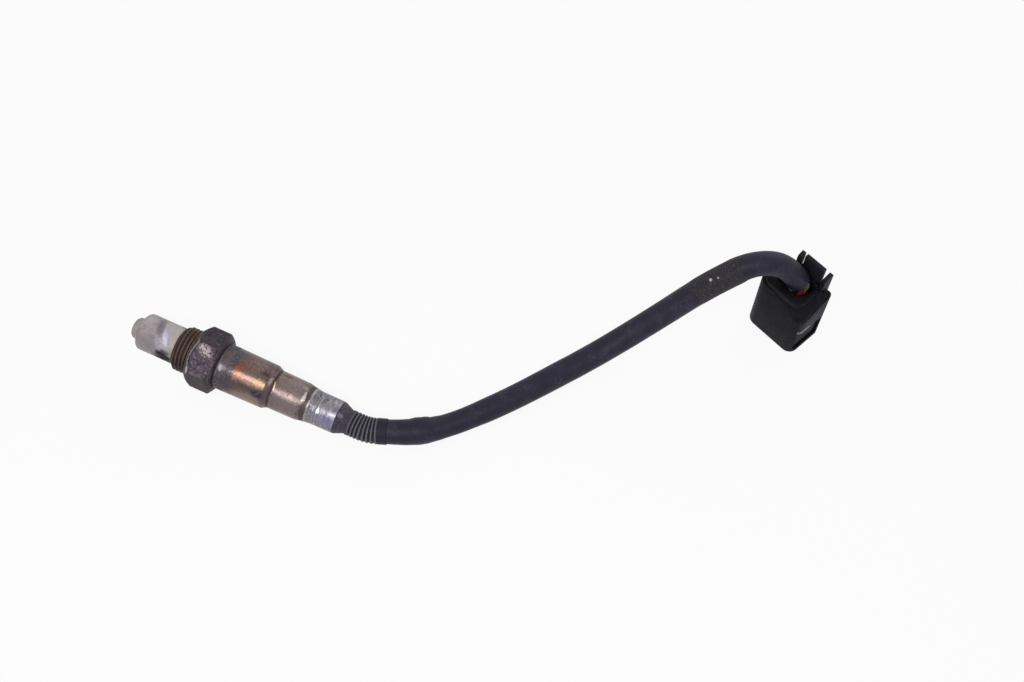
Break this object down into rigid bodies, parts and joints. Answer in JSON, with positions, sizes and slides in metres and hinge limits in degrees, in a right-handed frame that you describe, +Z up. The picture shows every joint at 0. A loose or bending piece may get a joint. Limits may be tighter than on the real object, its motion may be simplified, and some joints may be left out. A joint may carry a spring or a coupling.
{
  "type": "exhaust oxygen sensor",
  "caption": "Threaded exhaust oxygen sensor lying on its hexagon: closed protection tube, stepped steel sleeve, ribbed boot, short cable and a latched plug standing on its mating face.",
  "frame": {"origin": "on the surface that the sensor lies on, under the middle of the sensor itself without its cable and plug", "axes": "+Z up from the surface, +X from the protection tube towards the cable, level, in the vertical plane of the sensor's axis"},
  "size_m": [0.2421, 0.1319, 0.0485],
  "materials": {
    "heat_greyed_steel": "stainless steel, matt grey with pale exhaust deposit",
    "clean_steel": "clean stainless steel, hidden inside",
    "browned_steel": "turned steel gone dark grey brown with heat and light rust, pitted",
    "heat_tinted_steel": "stainless steel with straw to bronze heat tint, bare at the cable end",
    "ceramic": "plain fired ceramic",
    "contact_nickel": "plated contact metal",
    "grey_rubber": "heat-proof rubber, slate grey, scuffed",
    "black_rubber": "ribbed black rubber, dusty on the crests",
    "cable_sheath": "smooth dark sheath with a soft sheen and dust",
    "plug_plastic": "moulded black plastic, dusty",
    "seal_rubber": "soft silicone seal, brick red",
    "wire_red": "red wire insulation",
    "wire_yellow": "yellow wire insulation",
    "wire_white": "white wire insulation",
    "wire_grey": "grey wire insulation",
    "wire_black": "black wire insulation"
  },
  "bodies": {
    "root": {"outer_protection_tube": "heat_greyed_steel", "inner_protection_tube": "clean_steel", "sensing_element": "ceramic", "hex_housing": "browned_steel", "lower_support_ceramic": "ceramic", "talc_packing": "ceramic", "upper_support_ceramic": "ceramic", "retaining_ring": "clean_steel", "protection_sleeve": "heat_tinted_steel", "contact_holder_upper": "ceramic", "contact_holder_lower": "ceramic", "holder_clamp_ring": "clean_steel", "grommet": "grey_rubber", "rubber_boot": "black_rubber", "cable_sleeve": "cable_sheath", "plug_housing": "plug_plastic", "rear_cover": "plug_plastic", "wire_seal": "seal_rubber", "terminal_carrier": "plug_plastic", "mating_seal": "seal_rubber", "secondary_lock": "plug_plastic", "contact_spring_1": "contact_nickel", "terminal_1": "contact_nickel", "contact_spring_2": "contact_nickel", "terminal_2": "contact_nickel", "contact_spring_3": "contact_nickel", "terminal_3": "contact_nickel", "contact_spring_4": "contact_nickel", "terminal_4": "contact_nickel", "contact_spring_5": "contact_nickel", "terminal_5": "contact_nickel", "lead_wire_red": "wire_red", "plug_wire_red": "wire_red", "lead_wire_yellow": "wire_yellow", "plug_wire_yellow": "wire_yellow", "lead_wire_white": "wire_white", "plug_wire_white": "wire_white", "lead_wire_grey": "wire_grey", "plug_wire_grey": "wire_grey", "lead_wire_black": "wire_black", "plug_wire_black": "wire_black"}
  },
  "joints": []
}
